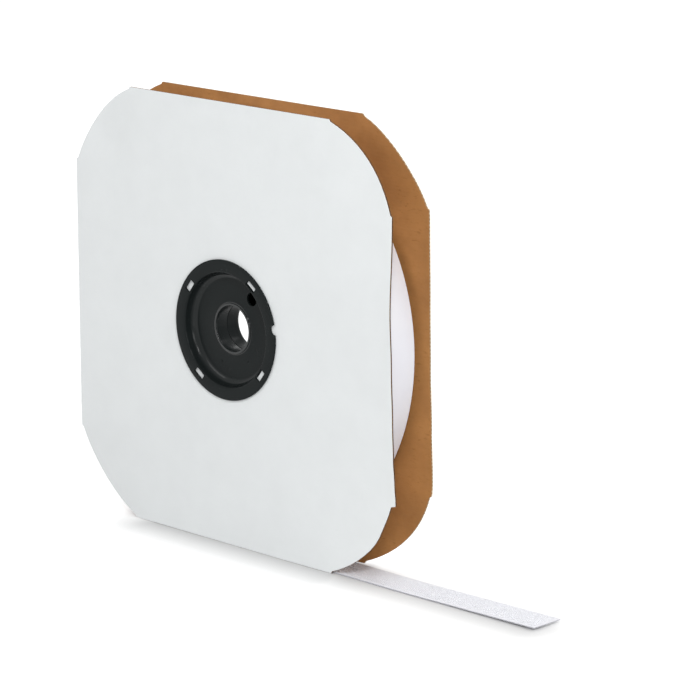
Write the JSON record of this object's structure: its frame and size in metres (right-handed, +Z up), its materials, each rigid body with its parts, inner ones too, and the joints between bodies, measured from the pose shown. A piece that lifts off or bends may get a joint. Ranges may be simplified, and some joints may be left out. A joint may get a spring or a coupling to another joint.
{
  "type": "hook and loop tape roll",
  "caption": "Reel of self-adhesive hook tape between square corrugated flanges on a dished plastic hub, with the free end of the tape paid out along the floor.",
  "frame": {"origin": "on the floor under the middle of the flanges", "axes": "+X is the way the free end of the tape leaves, -Y is the front of the reel and Y is its axis, +Z is up"},
  "size_m": [0.4263, 0.0356, 0.305],
  "materials": {
    "white_liner": "white paperboard, matt with a faint sheen",
    "kraft_liner": "brown kraft paperboard, matt",
    "fluting_medium": "brown corrugating paper, matt",
    "black_plastic": "black moulded plastic, semi-gloss",
    "core_paper": "wound paper tube, matt",
    "hook_tape": "white woven nylon with rows of fine hooks",
    "release_liner": "pale coated release paper, satin"
  },
  "bodies": {
    "flange_stand": {"front_outer_liner": "white_liner", "front_fluting": "fluting_medium", "front_inner_liner": "kraft_liner", "rear_outer_liner": "white_liner", "rear_fluting": "fluting_medium", "rear_inner_liner": "kraft_liner", "outer_turn_liner": "release_liner", "outer_turn_tape": "hook_tape", "tail_liner": "release_liner", "tail_tape": "hook_tape"},
    "spool": {"front_hub": "black_plastic", "rear_hub": "black_plastic", "core_tube": "core_paper", "tape_pack": "hook_tape"}
  },
  "joints": [
    {"name": "spool_turn", "type": "hinge", "parent": "flange_stand", "child": "spool", "pos_m": [-0.002, 0, 0.15], "axis": [0, -1, 0], "continuous": true}
  ]
}
